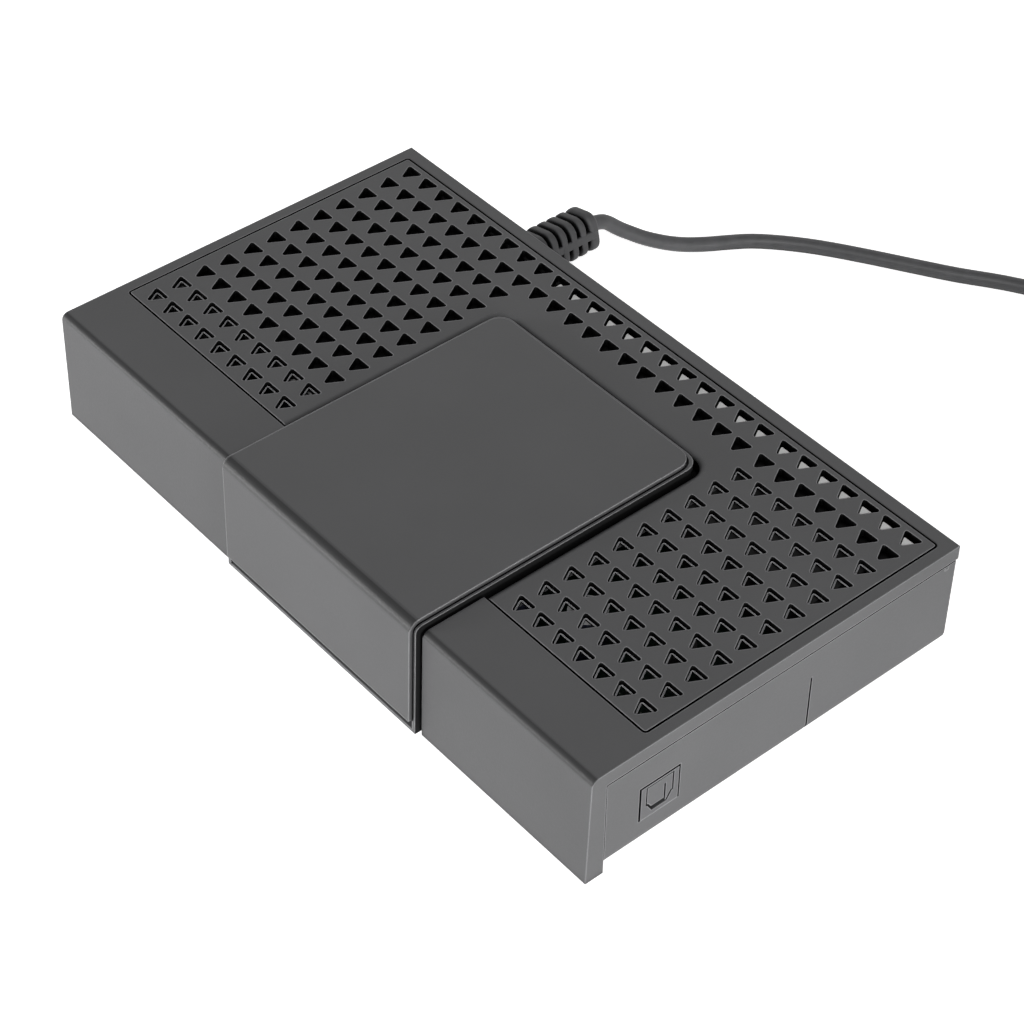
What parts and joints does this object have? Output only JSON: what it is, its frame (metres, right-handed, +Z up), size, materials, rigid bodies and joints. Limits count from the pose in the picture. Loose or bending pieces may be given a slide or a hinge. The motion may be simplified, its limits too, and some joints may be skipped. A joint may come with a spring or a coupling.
{
  "type": "satellite tv receiver",
  "caption": "Low flat set-top receiver with a vent grille of triangular holes, an arched centre trim, rear sockets and a plug-in supply on a coiled lead.",
  "frame": {"origin": "on the table, below the middle of the receiver's own box, which runs from the trim's foot to the end of the aerial socket; the lead and its supply are left out", "axes": "+X to the receiver's right as seen from its front, along its width; +Y from the front to the rear sockets; +Z up"},
  "size_m": [0.251, 0.2057, 0.049],
  "materials": {
    "housing": "fine matte moulding grain",
    "trim": "matte",
    "tray": "matte moulding grain",
    "sheet_metal": "bare tinned sheet",
    "black_film": "matte film",
    "board": "dark lacquered laminate",
    "screws": "bright",
    "dark_screws": "black oxide",
    "rubber": "matte",
    "connector": "nickel over brass",
    "white_plastic": "translucent white",
    "shell": "plated",
    "black_plastic": "matte",
    "contact": "plated contact",
    "socket_plastic": "matte",
    "red_lens": "clear red",
    "chip": "moulded epoxy",
    "heat_sink": "black anodised",
    "capacitor": "sleeved can",
    "choke": "ferrite",
    "display": "dark window",
    "cord": "soft matte jacket",
    "supply_plastic": "matte"
  },
  "bodies": {
    "receiver": {"top_cover": "housing", "vent_grille": "housing", "trim_carrier": "trim", "trim_plate": "trim", "base_tray": "tray", "rear_shield": "sheet_metal", "insulator_sheet": "black_film", "main_board": "board", "board_screws": "screws", "case_screws": "dark_screws", "rubber_feet": "rubber", "tuner_can": "sheet_metal", "aerial_socket": "connector", "aerial_insert": "white_plastic", "hdmi_shell": "shell", "hdmi_core": "black_plastic", "usb_shell": "shell", "usb_core": "black_plastic", "dc_jack": "black_plastic", "jack_pin": "contact", "optical_socket": "socket_plastic", "optical_emitter": "red_lens", "main_chip": "chip", "heat_sink": "heat_sink", "memory_chips": "chip", "capacitors": "capacitor", "chokes": "choke", "front_board": "board", "display_module": "display", "ir_receiver": "display", "status_led": "white_plastic", "board_header": "black_plastic", "dc_plug": "cord", "plug_barrel": "shell", "power_lead": "cord", "lead_coil": "cord", "coil_tie": "black_film", "supply_relief": "supply_plastic", "supply_case": "supply_plastic", "supply_cover": "supply_plastic", "pin_sleeves": "black_plastic", "mains_pins": "shell"},
    "flap": {"optical_shutter": "socket_plastic"}
  },
  "joints": [
    {"name": "optical_flap_hinge", "type": "hinge", "parent": "receiver", "child": "flap", "pos_m": [0.08285, -0.03198, 0.0157], "axis": [0, 1, 0], "range_deg": [0, 80], "stiffness_Nm_per_rad": 0.0001, "springref_deg": -17.19}
  ]
}
